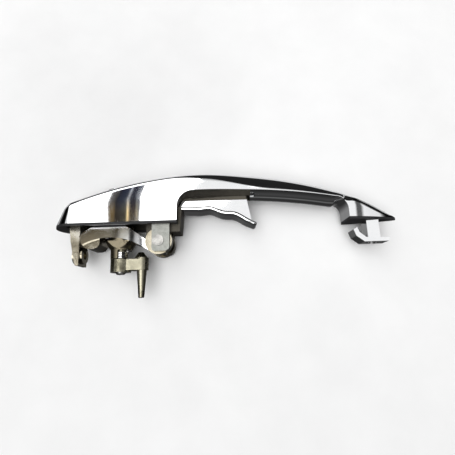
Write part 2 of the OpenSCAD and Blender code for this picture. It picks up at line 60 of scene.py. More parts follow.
# ---- materials ----
class Shader:
    """A principled material with short calls for its noise, ramps and bump."""

    def __init__(self, name, metallic, roughness):
        self.material = bpy.data.materials.new(name)
        self.material.use_nodes = True
        self.tree = self.material.node_tree
        self.bsdf = self.tree.nodes["Principled BSDF"]
        self.bsdf.inputs["Metallic"].default_value = metallic
        self.bsdf.inputs["Roughness"].default_value = roughness
        self.coords = self.tree.nodes.new("ShaderNodeTexCoord").outputs["Object"]
        self.normal = None

    def link(self, a, b):
        self.tree.links.new(a, b)

    def stretched(self, scale):
        """Object coordinates scaled by axis, for grain that runs one way."""
        node = self.tree.nodes.new("ShaderNodeMapping")
        node.inputs["Scale"].default_value = scale
        self.link(self.coords, node.inputs["Vector"])
        return node.outputs["Vector"]

    def noise(self, scale, detail=4.0, rough=0.55, stretch=None):
        node = self.tree.nodes.new("ShaderNodeTexNoise")
        node.inputs["Scale"].default_value = scale
        node.inputs["Detail"].default_value = detail
        node.inputs["Roughness"].default_value = rough
        self.link(self.stretched(stretch) if stretch else self.coords, node.inputs["Vector"])
        return node.outputs["Fac"]

    def cells(self, scale):
        node = self.tree.nodes.new("ShaderNodeTexVoronoi")
        node.inputs["Scale"].default_value = scale
        self.link(self.coords, node.inputs["Vector"])
        return node.outputs["Distance"]

    def ramp(self, value, stops):
        node = self.tree.nodes.new("ShaderNodeValToRGB")
        elements = node.color_ramp.elements
        while len(elements) < len(stops):
            elements.new(0.5)
        for element, (at, colour) in zip(elements, stops):
            element.position = at
            element.color = (*colour, 1.0)
        self.link(value, node.inputs["Fac"])
        return node.outputs["Color"]

    def spread(self, value, low, high, start=0.3, end=0.7):
        node = self.tree.nodes.new("ShaderNodeMapRange")
        for key, number in (("From Min", start), ("From Max", end), ("To Min", low), ("To Max", high)):
            node.inputs[key].default_value = number
        self.link(value, node.inputs["Value"])
        return node.outputs["Result"]

    def mix(self, factor, a, b, blend="MIX"):
        node = self.tree.nodes.new("ShaderNodeMix")
        node.data_type = "RGBA"
        node.blend_type = blend
        for socket, value in ((node.inputs[0], factor), (node.inputs[6], a), (node.inputs[7], b)):
            if isinstance(value, tuple):
                socket.default_value = (*value, 1.0)
            elif isinstance(value, float):
                socket.default_value = value
            else:
                self.link(value, socket)
        return node.outputs[2]

    def bump(self, value, distance, strength):
        node = self.tree.nodes.new("ShaderNodeBump")
        node.inputs["Strength"].default_value = strength
        node.inputs["Distance"].default_value = distance
        self.link(value, node.inputs["Height"])
        if self.normal:
            self.link(self.normal, node.inputs["Normal"])
        self.normal = node.outputs["Normal"]
        self.link(self.normal, self.bsdf.inputs["Normal"])

    def colour(self, value):
        self.link(value, self.bsdf.inputs["Base Color"])

    def roughness(self, value):
        self.link(value, self.bsdf.inputs["Roughness"])


def chrome():
    s = Shader("polished_chrome", metallic=1.0, roughness=0.04)
    haze = s.noise(90, 5, 0.6)
    hairs = s.noise(60, 3, 0.7, stretch=(2.0, 90.0, 26.0))
    s.colour(s.ramp(haze, [(0.25, (0.86, 0.87, 0.885)), (0.75, (0.93, 0.935, 0.94))]))
    s.roughness(s.spread(s.mix(0.35, haze, hairs), 0.02, 0.085))
    s.bump(s.noise(150, 2, 0.4), 0.00001, 0.25)
    s.bump(hairs, 0.000004, 0.15)
    return s.material


def dull_chrome():
    s = Shader("unpolished_chrome", metallic=1.0, roughness=0.2)
    stain = s.noise(70, 5, 0.6)
    grain = s.noise(900, 3, 0.6)
    s.colour(s.ramp(stain, [(0.28, (0.16, 0.135, 0.09)), (0.5, (0.34, 0.31, 0.24)),
                            (0.75, (0.52, 0.5, 0.44))]))
    s.roughness(s.spread(stain, 0.12, 0.3))
    s.bump(grain, 0.00004, 0.2)
    return s.material


# painted shade: a dark, mottled finish that stands in for shade and dark reflections on chrome in recesses,
# openings and undersides
def painted_shade():
    s = Shader("painted_shade_and_dark_reflection", metallic=0.7, roughness=0.5)
    stain = s.noise(60, 5, 0.6)
    s.colour(s.ramp(stain, [(0.3, (0.035, 0.032, 0.026)), (0.7, (0.11, 0.1, 0.08))]))
    s.roughness(s.spread(stain, 0.4, 0.65))
    s.bump(s.noise(700, 4, 0.6), 0.00012, 0.5)
    return s.material


def zinc(name, dark, light, rough, metallic):
    specks = (0.2, 0.19, 0.17)
    s = Shader(name, metallic=metallic, roughness=rough)
    blotch = s.noise(110, 6, 0.65)
    grain = s.noise(1500, 3, 0.6)
    base = s.ramp(blotch, [(0.3, dark), (0.52, light), (0.72, tuple(0.8 * c for c in light))])
    base = s.mix(s.spread(grain, 0.0, 0.3, 0.45, 0.75), base, tuple(0.6 * c for c in dark))
    base = s.mix(s.spread(s.cells(900), 0.5, 0.0, 0.02, 0.18), base, specks)
    s.colour(base)
    s.roughness(s.spread(blotch, rough - 0.1, rough + 0.16))
    s.bump(grain, 0.00006, 0.35)
    s.bump(blotch, 0.0002, 0.2)
    return s.material


def rubber():
    s = Shader("seal_rubber", metallic=0.0, roughness=0.55)
    s.bsdf.inputs["Specular IOR Level"].default_value = 0.35
    bloom = s.noise(80, 5, 0.6)
    s.colour(s.ramp(bloom, [(0.3, (0.011, 0.011, 0.012)), (0.8, (0.032, 0.032, 0.034))]))
    s.roughness(s.spread(bloom, 0.42, 0.7))
    s.bump(s.noise(2600, 3, 0.6), 0.00005, 0.5)
    return s.material


def steel(name, dark, light, rough):
    s = Shader(name, metallic=1.0, roughness=rough)
    wear = s.noise(220, 5, 0.6)
    turned = s.noise(500, 3, 0.7, stretch=(1.0, 14.0, 1.0))
    s.colour(s.ramp(wear, [(0.3, dark), (0.7, light)]))
    s.roughness(s.spread(turned, rough - 0.08, rough + 0.14))
    s.bump(turned, 0.00003, 0.3)
    return s.material


finishes = {
    "chrome": chrome(),
    "dull_chrome": dull_chrome(),
    "painted_shade": painted_shade(),
    "seal_rubber": rubber(),
    "grey_zinc": zinc("cast_grey_zinc", (0.12, 0.125, 0.115), (0.27, 0.275, 0.255), 0.36, 0.95),
    "brown_zinc": zinc("cast_brown_zinc", (0.08, 0.068, 0.044), (0.27, 0.235, 0.165), 0.27, 1.0),
    "khaki_zinc": zinc("cast_khaki_zinc", (0.11, 0.1, 0.07), (0.34, 0.32, 0.24), 0.25, 1.0),
    "steel": steel("plated_steel", (0.2, 0.2, 0.19), (0.42, 0.41, 0.39), 0.28),
    "bright_steel": steel("bright_steel", (0.6, 0.6, 0.6), (0.82, 0.82, 0.82), 0.16),
    "brass": steel("rolled_brass", (0.5, 0.36, 0.14), (0.78, 0.6, 0.28), 0.24),
}

node_finish = {
    "handle_body": "chrome", "rear_seal": "seal_rubber", "front_seal": "seal_rubber",
    "front_hook": "chrome", "hook_screw": "steel", "pivot_bracket": "grey_zinc",
    "bracket_screws": "steel", "pivot_pin": "steel", "pin_clip": "steel", "trigger": "chrome",
    "trigger_spring": "bright_steel", "lock_housing": "brown_zinc", "housing_screws": "steel",
    "lock_seal": "seal_rubber", "lock_cap": "bright_steel", "lock_plug": "khaki_zinc",
    "plug_face": "bright_steel", "key_shutter": "bright_steel", "wafers": "brass",
    "wafer_springs": "bright_steel", "thrust_washer": "steel", "crank": "khaki_zinc",
    "crank_screw": "steel", "crank_spring": "bright_steel",
}


# ---- mesh building, in millimetres: x to the rear, u outward, z up ----
MM = 0.001
# the finishes that a face of a code mesh can have; the third is painted shade and dark reflection, a dark
# finish for chrome in recesses and openings
CHROME, DULL, PAINTED_DARK = 0, 1, 2
shell_finish = [finishes["chrome"], finishes["dull_chrome"], finishes["painted_shade"]]
# edges that turn by more than this, in degrees, stay sharp or are rounded
SHARP = 32


class Builder:
    """Collects faces by their corners, joining corners that fall together."""

    def __init__(self):
        self.points, self.index, self.faces, self.kinds = [], {}, [], []

    def at(self, x, u, z):
        key = (round(x, 3), round(u, 3), round(z, 3))
        if key not in self.index:
            self.index[key] = len(self.points)
            self.points.append((x * MM, -u * MM, z * MM))
        return self.index[key]

    def face(self, corners, kind=CHROME):
        ids = []
        for corner in corners:
            i = self.at(*corner)
            if i not in ids:
                ids.append(i)
        if len(ids) > 2:
            self.faces.append(ids)
            self.kinds.append(kind)

    def grid(self, rows, kind=CHROME, skip=None):
        for low_row, high_row in zip(rows, rows[1:]):
            for j in range(len(low_row) - 1):
                cell = (low_row[j], low_row[j + 1], high_row[j + 1], high_row[j])
                if not (skip and skip(cell)):
                    self.face(cell, kind)

    def prism(self, outline, z0, z1, kind):
        """A flat outline in x and u, thickened from z0 to z1."""
        self.face([(x, u, z0) for x, u in outline], kind)
        self.face([(x, u, z1) for x, u in outline], kind)
        around = outline + outline[:1]
        self.grid([[(x, u, z0) for x, u in around], [(x, u, z1) for x, u in around]], kind)

    def tube(self, r, u0, u1, x, kind):
        """A round bar along the outward direction, closed at both ends."""
        steps = 72
        rings = [[(x + radius * math.cos(math.tau * k / steps), u, radius * math.sin(math.tau * k / steps))
                  for k in range(steps + 1)] for radius, u in ((0, u0), (r, u0), (r, u1), (0, u1))]
        self.grid(rings + rings[:1], kind)

    def object(self, name):
        mesh = bpy.data.meshes.new(name)
        mesh.from_pydata(self.points, [], self.faces)
        for material in shell_finish:
            mesh.materials.append(material)
        mesh.polygons.foreach_set("material_index", self.kinds)
        bm = bmesh.new()
        bm.from_mesh(mesh)
        bmesh.ops.recalc_face_normals(bm, faces=bm.faces)
        for face in bm.faces:
            face.smooth = True
        bm.to_mesh(mesh)
        bm.free()
        mesh.set_sharp_from_angle(angle=math.radians(SHARP))
        obj = bpy.data.objects.new(name, mesh)
        scene.collection.objects.link(obj)
        return obj


def combine(obj, steps):
    """Joins or cuts obj with each (operation, other) in turn, and drops the others."""
    for operation, other in steps:
        change = obj.modifiers.new("combine", "BOOLEAN")
        change.operation = operation
        change.object = other
        change.solver = "EXACT"
        change.material_mode = "INDEX"
        made = bpy.data.meshes.new_from_object(obj.evaluated_get(bpy.context.evaluated_depsgraph_get()))
        obj.modifiers.clear()
        obj.data = made
        bpy.data.objects.remove(other)
    obj.data.set_sharp_from_angle(angle=math.radians(SHARP))


def round_edges(obj, width, segments=3):
    bevel = obj.modifiers.new("rounded edges", "BEVEL")
    bevel.width = width * MM
    bevel.segments = segments
    bevel.limit_method = "ANGLE"
    bevel.angle_limit = math.radians(SHARP)
    bevel.harden_normals = True


def ease(t):
    t = min(max(t, 0.0), 1.0)
    return t * t * (3 - 2 * t)


def between(a, b, steps, ends=(True, True)):
    """Evenly spaced numbers from a to b, with or without either end."""
    return [a + (b - a) * i / steps for i in range(0 if ends[0] else 1, steps + (1 if ends[1] else 0))]


# ---- chrome body ----
body_low, body_high = (Vector(c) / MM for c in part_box("handle_body"))
seal_low, _ = (Vector(c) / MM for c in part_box("rear_seal"))
_, foot_seal_high = (Vector(c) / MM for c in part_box("front_seal"))
rear_x, front_x, rise, wide = body_high.x, body_low.x, -body_low.y, body_high.z
base_u, wall_x, foot_wall_x = -seal_low.y, seal_low.x, foot_seal_high.x
foot_x, foot_wide = foot_wall_x + 2.0, 8.5
bow_wide, taper_len = 9.5, 45.0
apex_x, nose_len, lean_angle, crown = -56.5, 12.5, 26, 1.2
lean = math.tan(math.radians(lean_angle))
face_run, face_drop = apex_x - front_x, rise - base_u
face_r = (face_run ** 2 + face_drop ** 2) / (2 * face_drop)
face_c = rise - face_r
under_x, under_r, bow_thick, bow_skin = apex_x - 8.5, 360.0, 10.6, 2.4
under_c = rise - bow_thick - under_r
rear_corner, front_corner, bulge = 10.0, 8.0, 4.1
corner_x, front_corner_x = wall_x - rear_corner, foot_wall_x + front_corner
# the slot under the bow and the wider opening for the trigger's root, with the tops of both
# in the hollow's front wall and the heights below which its cells are left open
slot_half, slot_front, slot_top, slot_open = 5.5, -79.9, 21.4, 22
root_half, root_top, root_open = 8.0, 14.87, 15
NEAR = 0.01


def face_u(x):
    return face_c + math.sqrt(face_r ** 2 - (x - apex_x) ** 2)


def under_u(x):
    return under_c + math.sqrt(under_r ** 2 - (x - under_x) ** 2)


def half_width(x):
    if x >= wall_x:
        return wide
    if x >= foot_x:
        return wide + (bow_wide - wide) * ease((wall_x - x) / taper_len)
    t = (foot_x - x) / (foot_x - front_x)
    return foot_wide * ((1 - t ** 1.7) * 0.93 + 0.07)


def gap_u(x):
    """Height of the finger gap's outline over x."""
    if x > corner_x:
        return under_u(corner_x) - rear_corner + math.sqrt(max(0.0, rear_corner ** 2 - (x - corner_x) ** 2))
    if x < front_corner_x:
        return under_u(front_corner_x) - front_corner + math.sqrt(
            max(0.0, front_corner ** 2 - (front_corner_x - x) ** 2))
    return under_u(x)


def edge_round(x, height):
    """Width and height of the rounding along the outer edge, which swells along the bow."""
    swell = ease((-46 - x) / 44) * (1 - ease((-130 - x) / 15))
    tall = min(2.7 + 5.2 * swell, max(0.05, height - 1.0), 0.6 * height + 3 * swell)
    return min(1.7 + 2.3 * swell, 0.45 * half_width(x) + 0.2), tall


class Station:
    """One line across the body: where it starts, its half width and how far it leans."""

    def __init__(self, x, half, turn=0.0, bottom=base_u):
        self.x, self.half, self.turn, self.bottom = x, half, turn, bottom
        self.side = math.sqrt(1 - turn ** 2)

    def x_at(self, u):
        return self.x - (u - base_u) * lean * self.turn

    def top(self):
        x = self.x
        for _ in range(6):
            x = self.x_at(face_u(x))
        return face_u(x)

    def across(self):
        """Points from the +Z wall over the outer face to the -Z wall."""
        top = self.top()
        wide_r, tall_r = edge_round(self.x, top - self.bottom)
        wide_r = min(wide_r, 0.8 * nose_len)
        near = []
        for k in range(7):
            angle = math.radians(90 - 15 * k)
            inward = wide_r * (1 - math.sin(angle))
            z = max(0.0, self.half - inward * self.side)
            u = top
            for _ in range(6):
                x = self.x_at(u) - inward * self.turn
                u = max(base_u, face_u(x) - crown * (z / wide) ** 2 - tall_r * (1 - math.cos(angle)))
            near.append((x, u, z))
        x, _, z_end = near[-1]
        middle = [(x, max(base_u, face_u(x) - crown * (z / wide) ** 2), z)
                  for z in (z_end * f for f in (0.75, 0.5, 0.25, 0.0, -0.25, -0.5, -0.75))]
        return near + middle + [(a, b, -c) for a, b, c in reversed(near)]

    def wall(self, fractions, sign):
        corner = self.across()[0][1]
        heights = [self.bottom + f * (corner - self.bottom) for f in fractions]
        return [(self.x_at(u), u, sign * self.half) for u in heights]


def nose_stations(inset):
    """Stations round the leaning rear end, set in from its outer wall by inset."""
    return [Station(rear_x - nose_len + (nose_len - inset) * math.cos(math.radians(a)),
                    (wide - inset) * math.sin(math.radians(a)), math.cos(math.radians(a)))
            for a in range(0, 91, 6)]


def body_shell():
    b = Builder()
    turns = [math.radians(a) for a in range(10, 91, 10)]
    rear_arc = [corner_x + rear_corner * math.cos(a) for a in turns]
    front_arc = [front_corner_x - front_corner * math.sin(a) for a in turns]
    wedge = nose_stations(0)
    wedge += [Station(x, wide) for x in between(rear_x - nose_len, wall_x, 18, (False, True))]
    bow_x = [wall_x] + rear_arc + between(corner_x, slot_front, 10, (False, True))
    bow_x += between(slot_front, front_corner_x, 14, (False, True)) + front_arc
    bow = [Station(x, half_width(x), bottom=gap_u(x)) for x in bow_x]
    foot_steps = 16
    foot = [Station(x, half_width(x)) for x in
            [foot_wall_x] + [foot_wall_x + (front_x - foot_wall_x) * (1 - (1 - i / foot_steps) ** 1.4)
                             for i in range(1, foot_steps + 1)]]

    # outer face and side walls
    for part in (wedge, bow, foot):
        b.grid([s.across() for s in part])
    splits = {}
    for part, end, end_x in ((wedge, wedge[-1], wall_x), (foot, foot[0], foot_wall_x)):
        corner = end.across()[0][1]
        splits[id(part)] = (gap_u(end_x) - base_u) / (corner - base_u)
    for part in (wedge, bow, foot):
        split = splits.get(id(part))
        rows = [0, split, (1 + split) / 2, 1] if split else [0, 0.5, 1]
        for sign in (1, -1):
            b.grid([s.wall(rows, sign) for s in part])

    # underside of the bow, with the walls at both ends of the finger gap
    outline = [(wall_x, base_u)] + [(s.x, s.bottom) for s in bow] + [(foot_wall_x, base_u)]
    rows = []
    for i, (x, u) in enumerate(outline):
        if x > corner_x:
            n = (corner_x - x, under_u(corner_x) - rear_corner - u)
            full = ease((wall_x - x) / rear_corner)
        elif x < front_corner_x:
            n = (front_corner_x - x, under_u(front_corner_x) - front_corner - u)
            full = ease((x - foot_wall_x) / front_corner)
        else:
            n = (0, -1)
            full = 1
        if i in (0, len(outline) - 1):
            full = 0
        length = math.hypot(*n) or 1
        half = half_width(x) if x > foot_wall_x else half_width(foot_wall_x)
        line = []
        for z in (half, 0.94 * half, root_half, slot_half, 3, 0,
                  -3, -slot_half, -root_half, -0.94 * half, -half):
            out = bulge * full * (1 - (z / half) ** 2)
            line.append((x + n[0] / length * out, u + n[1] / length * out, z))
        rows.append(line)

    def in_slot(cell):
        xs = [c[0] for c in cell]
        zs = [abs(c[2]) for c in cell]
        us = [c[1] for c in cell]
        in_root = max(zs) <= root_half and max(us) < root_open and min(xs) > corner_x
        return in_root or (max(zs) <= slot_half and min(xs) > slot_front - 0.2)

    # the underside from the rear wall to the slot's front, and the slot's walls and ceiling, take the
    # painted shade finish: painted dark reflection on the chrome there
    beside_slot = sum(1 for x, _ in outline if x >= slot_front - NEAR)
    b.grid(rows[:beside_slot], kind=PAINTED_DARK, skip=in_slot)
    b.grid(rows[beside_slot - 1:], skip=in_slot)
    ceiling = [(x, face_u(x) - bow_skin) for x in bow_x if x >= slot_front - NEAR]
    # where z is slot_half and -slot_half in each line
    slot_columns = {1: 3, -1: 7}
    for sign, column in slot_columns.items():
        lip = [line[column] for line, (x, _) in zip(rows[1:], outline[1:]) if x >= slot_front - NEAR]
        b.grid([lip, [(x, u, sign * slot_half) for x, u in ceiling]], kind=PAINTED_DARK)
    b.grid([[(x, u, z) for x, u in ceiling] for z in (slot_half, 0, -slot_half)], kind=PAINTED_DARK)
    last = next(line for line, (x, _) in zip(rows[1:], outline[1:]) if abs(x - slot_front) < NEAR)
    b.face(last[slot_columns[1]:slot_columns[-1] + 1]
           + [(slot_front, ceiling[-1][1], z) for z in (-slot_half, 0, slot_half)], kind=PAINTED_DARK)

    # foot's underside
    columns = (1, 0.94, root_half / foot_wide, slot_half / foot_wide, 0.35, 0, -0.35,
               -slot_half / foot_wide, -root_half / foot_wide, -0.94, -1)
    first = [(foot_wall_x, base_u, z) for *_, z in rows[-1]]
    b.grid([first] + [[(s.x, base_u, f * s.half) for f in columns] for s in foot[1:]])

    # hollow of the wide rear end; its inside, its lower rim and its front wall take the painted shade
    # finish, painted shade in the recess
    side_wall, skin, front_wall = 1.6, 2.2, 2.0
    inner_x = wall_x + front_wall
    inner = nose_stations(side_wall)
    inner += [Station(x, wide - side_wall) for x in between(rear_x - nose_len, wall_x, 18, (False, False))
              if x > inner_x + 0.5]
    inner.append(Station(inner_x, wide - side_wall))

    def hollow(s):
        u = face_u(s.x_at(s.top())) - skin
        x = s.x_at(u)
        rim = [(s.x, base_u, s.half), (s.x_at((base_u + u) / 2), (base_u + u) / 2, s.half), (x, u, s.half)]
        return rim + [(x, u, s.half * f) for f in (0.5, 0, -0.5)] + [(p, q, -r) for p, q, r in reversed(rim)]

    b.grid([hollow(s) for s in inner], kind=PAINTED_DARK)
    for sign in (1, -1):
        outer_line = [(s.x, base_u, sign * s.half) for s in wedge]
        inner_line = [(s.x, base_u, sign * s.half) for s in inner]
        short = min(len(outer_line), len(inner_line))
        b.grid([outer_line[:short], inner_line[:short]], kind=PAINTED_DARK)
        b.face([inner_line[short - 1]] + outer_line[short - 1:], kind=PAINTED_DARK)
        b.face([(inner_x, base_u, sign * (wide - side_wall)), (wall_x, base_u, sign * wide),
                (wall_x, base_u, sign * root_half), (inner_x, base_u, sign * root_half)], kind=PAINTED_DARK)
    top_u = face_u(inner_x) - skin
    heights = [base_u, root_top, slot_top, top_u]
    cells_z = [wide - side_wall, root_half, slot_half, 0, -slot_half, -root_half, side_wall - wide]

    def in_front_wall_opening(cell):
        half, top = max(abs(z) for _, _, z in cell), max(u for _, u, _ in cell)
        return (half <= root_half and top < root_open) or (half <= slot_half and top < slot_open)

    b.grid([[(inner_x, u, z) for z in cells_z] for u in heights], kind=PAINTED_DARK, skip=in_front_wall_opening)
    return b


def tube(r, u0, u1, x=0.0, kind=DULL):
    part = Builder()
    part.tube(r, u0, u1, x, kind)
    return part.object("part")


handle = body_shell().object("handle_shell")


# the post and bosses inside the wide end, and the seat and bore for the lock
post_front, post_rear, post_in, post_half = 23.5, 29.8, body_high.y, 6
screw_in, screw_r, screw_from, screw_to = 16.0, 2.5, 20, 28.4
boss_r, boss_front, boss_rear = 5.2, 22.1, 28.0
stud_r, stud_x, inside_u, bore_r, beyond = 2.8, 11.0, 12, 7.0, 40
cap_low, cap_high = (Vector(c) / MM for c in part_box("lock_cap"))
counter_r, seat_u = cap_high.x + 0.15, -cap_high.y - 0.9
collar_r, collar_u = counter_r + 1.0, -cap_low.y - 0.2


def prism_part(outline, half, z0=None, kind=DULL):
    """A prism from z0, or from -half, to half."""
    part = Builder()
    part.prism(outline, -half if z0 is None else z0, half, kind=kind)
    return part.object("part")


def bar_along(axis, r, a, b, at):
    """A round bar along X or Z, from a to b, centred on the other two coordinates."""
    steps = 48
    part = Builder()
    rings = []
    for radius, along in ((0, a), (r, a), (r, b), (0, b)):
        ring = []
        for k in range(steps + 1):
            c, s = radius * math.cos(math.tau * k / steps), radius * math.sin(math.tau * k / steps)
            ring.append((along, at[0] + c, at[1] + s) if axis == "X" else (at[0] + c, at[1] + s, along))
        rings.append(ring)
    part.grid(rings, DULL)
    return part.object("part")


post = [(post_front, 14), (post_rear, 12.5), (post_rear, 0), (post_rear - 0.9, -8),
        (post_rear - 4.2, -post_in), (post_front, -post_in)]
combine(handle, [
    ("UNION", tube(collar_r, seat_u - 3, collar_u, kind=CHROME)),
    ("UNION", tube(counter_r + 0.6, inside_u, seat_u + 1)),
    ("UNION", prism_part(post, post_half)),
    ("UNION", bar_along("X", boss_r, boss_front, boss_rear, (-screw_in, 0))),
    ("UNION", tube(stud_r, inside_u, 18, x=stud_x)),
    ("UNION", tube(stud_r, inside_u, 22, x=-stud_x)),
    ("DIFFERENCE", tube(counter_r, seat_u, beyond, kind=CHROME)),
    ("DIFFERENCE", tube(bore_r, 0, beyond)),
    ("DIFFERENCE", bar_along("X", screw_r, screw_from, screw_to, (-screw_in, 0))),
])
round_edges(handle, 0.3)
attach(handle, "handle")
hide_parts("handle_body")


# ---- trigger ----
trigger_low, trigger_high = (Vector(c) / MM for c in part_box("trigger"))
pin_low, pin_high = (Vector(c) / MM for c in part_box("pivot_pin"))
pivot_x, pivot_u = (pin_low.x + pin_high.x) / 2, -(pin_low.y + pin_high.y) / 2
hub_r, hub_half, spring_half = trigger_high.y + pivot_u, trigger_high.z, 3.6
finger_x, finger_len, finger_half, web_half = wall_x - 1.8, 44.6, 7.5, 5.0
web_top = -trigger_low.y + 0.1
rest_r, rest_root_u, rest_fall, rest_bend = 1.25, 9.9, 10.4, 2.2
ridge_start, ridge_end, ridge_pitch, ridge_half = 10, 41, 15.5, 0.65


def rest_u(s):
    """Height of the finger rest's middle at s from its root: a long curve with two ridges."""
    u = rest_root_u - rest_fall * (s / finger_len) ** rest_bend
    if ridge_start < s < ridge_end:
        u += ridge_half * (1 - math.cos(math.tau * (s - ridge_start) / ridge_pitch))
    return u


def rest_slope(s):
    """The outward direction's lean at s, which stays fixed over the rounded tip."""
    if not 0.2 < s < finger_len - 0.2:
        return -0.45
    return (rest_u(min(s + 0.1, finger_len)) - rest_u(max(s - 0.1, NEAR))) / 0.2


def finger_rest():
    b = Builder()
    stops = [(s, 1.0) for s in between(-0.5, finger_len, 48)]
    stops += [(finger_len + rest_r * math.sin(math.radians(a)), math.cos(math.radians(a)))
              for a in (30, 50, 70, 85)]
    rows = []
    for s, thick in stops:
        x, u = finger_x - s, rest_u(min(max(s, 0), finger_len)) - 0.25 * max(0.0, s - finger_len)
        n = Vector((rest_slope(s), 1)).normalized() if s > 0.2 else Vector((0, 1))
        half = finger_half - rest_r - 1.2 * ease((s - finger_len + 6) / 7)
        ring = []
        for k in range(13):
            a = math.radians(90 - 15 * k)
            ring.append((rest_r * thick * math.sin(a), half + rest_r * thick * math.cos(a)))
        ring += [(-rest_r * thick, z * half) for z in (0.5, 0, -0.5)]
        ring += [(h, -z) for h, z in reversed(ring[:13])]
        ring += [(rest_r * thick, z * half) for z in (-0.5, 0, 0.5)]
        ring.append(ring[0])
        rows.append([(x + n.x * h, u + n.y * h, z) for h, z in ring])
    b.grid(rows)
    b.face(rows[0][:-1])
    b.face(rows[-1][:-1])
    return b.object("trigger_shell")


def arc_points(x, u, r, start, stop, steps):
    """Points on an arc about x and u, between two angles in degrees."""
    return [(x + r * math.cos(math.radians(a)), u + r * math.sin(math.radians(a)))
            for a in between(start, stop, steps)]


# the web is chrome below web_split and painted dark above it, a painted shade where it runs in the slot
web_split, web_end, web_step, web_chamfer = web_top - 2.6, finger_len - 1.5, 3.1, 4.5
web_front, web_slant = finger_x - finger_len + 1.5, web_step / (web_top - rest_u(web_end))
web_split_x = web_front + web_slant * (web_split - rest_u(web_end))
web = [(finger_x - s, rest_u(s) + 0.3) for s in between(0.5, web_end, 34)]
web_rear, web_corner = finger_x + 0.9, finger_x - 2.2
web_rear_x = web_corner + (web_rear - web_corner) * (web_top - web_split) / web_chamfer
web += [(web_split_x, web_split), (web_rear_x, web_split), (web_rear, web_top - web_chamfer),
        (web_rear, rest_u(0))]
web_root = [(web_split_x, web_split - NEAR), (web_front + web_step, web_top), (web_corner, web_top),
            (web_rear_x, web_split - NEAR)]
root_rear, root_low = pivot_x + hub_r, -4.3
root = [(finger_x - 0.4, rest_u(0) - 1.1), (finger_x + 0.6, root_low), (pivot_x - 6.7, root_low),
        (pivot_x - hub_r + 0.3, pivot_u - 1), (pivot_x, pivot_u), (root_rear - 0.3, pivot_u + 1),
        (root_rear - 0.4, 2.5), (root_rear - 8, 9.2), (finger_x - 0.4, rest_u(0) + 1.1)]
cheek = arc_points(5.4, -22.3, 24, 128, 44, 28) + [(21, -11)] + arc_points(5, -41.7, 34.8, 64, 122, 22)
cheek += [(pivot_x + 2, pivot_u - hub_r + 0.2), (pivot_x, pivot_u), (root_rear - 0.6, pivot_u + 1)]
cheek_in = hub_half - 1.7
foot_pad = [(11, -5.2), (11, -10.6), (12.4, -12.6), (14.5, -13.2), (17.6, -13.2), (19.8, -12.4),
            (21, -10.6), (21, -5.2)]
spring_room = [(pivot_x - 1.5, pivot_u), (root_rear + 1, pivot_u), (root_rear + 1, 12), (pivot_x - 1.5, 12)]
pin_reach = 20

trigger = finger_rest()
combine(trigger, [
    ("UNION", prism_part(web, web_half, kind=CHROME)),
    ("UNION", prism_part(web_root, web_half, kind=PAINTED_DARK)),
    # the root takes the painted shade finish: a painted dark reflection on chrome in the body's opening
    ("UNION", prism_part(root, finger_half, kind=PAINTED_DARK)),
    ("UNION", bar_along("Z", hub_r, -hub_half, hub_half, (pivot_x, pivot_u))),
    ("UNION", prism_part(cheek, hub_half, z0=cheek_in, kind=CHROME)),
    ("UNION", prism_part(cheek, -cheek_in, z0=-hub_half, kind=CHROME)),
    ("UNION", prism_part(foot_pad, cheek_in + 0.2)),
    ("DIFFERENCE", bar_along("Z", hub_r + 1.2, -spring_half, spring_half, (pivot_x, pivot_u))),
    ("DIFFERENCE", prism_part(spring_room, spring_half)),
    ("DIFFERENCE", bar_along("Z", pin_high.x - pivot_x - 0.9, -pin_reach, pin_reach, (pivot_x, pivot_u))),
])
round_edges(trigger, 0.5, segments=4)
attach(trigger, "trigger")
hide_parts("trigger")


# how much each node's edges are rounded, in millimetres; thin and round nodes are left out
rounding = {
    "handle_body": 0.4, "rear_seal": 0.3, "front_seal": 0.3, "front_hook": 0.7,
    "pivot_bracket": 0.4, "trigger": 0.6, "lock_housing": 0.4, "crank": 0.6,
    "lock_plug": 0.15, "pivot_pin": 0.4, "lock_cap": 0.1, "hook_screw": 0.15,
    "bracket_screws": 0.15, "housing_screws": 0.15, "crank_screw": 0.15,
}
for name, node in nodes.items():
    node.data.materials.clear()
    node.data.materials.append(finishes[node_finish[name]])
    if name in rounding:
        round_edges(node, rounding[name])


# ---- floor, light and camera ----
low, high = size_at_load


def card(name, corners, across, down):
    """A glowing level sheet that only reflections see, painting reflections onto the chrome. across and down
    are its ramps along X and Y.
    """
    mesh = bpy.data.meshes.new(name)
    mesh.from_pydata([(x, y, card_z) for x, y in corners], [], [(0, 1, 2, 3)])
    obj = bpy.data.objects.new(name, mesh)
    scene.collection.objects.link(obj)
    s = Shader(name, metallic=0.0, roughness=0.9)
    s.bsdf.inputs["Specular IOR Level"].default_value = 0.0
    parts = s.tree.nodes.new("ShaderNodeSeparateXYZ")
    s.link(s.coords, parts.inputs["Vector"])
    spans = [(min(c[i] for c in corners), max(c[i] for c in corners)) for i in (0, 1)]
    shade = s.ramp(s.spread(parts.outputs["X"], 0, 1, *spans[0]), across)
    shade = s.mix(1.0, shade, s.ramp(s.spread(parts.outputs["Y"], 0, 1, *spans[1]), down), "MULTIPLY")
    shade = s.mix(s.spread(s.noise(120, 4), 0.0, 0.35), shade, (0.0, 0.0, 0.0))
    s.link(shade, s.bsdf.inputs["Emission Color"])
    s.bsdf.inputs["Emission Strength"].default_value = 1.0
    s.bsdf.inputs["Base Color"].default_value = (0.0, 0.0, 0.0, 1.0)
    mesh.materials.append(s.material)
    obj.visible_camera = False
    obj.visible_diffuse = False


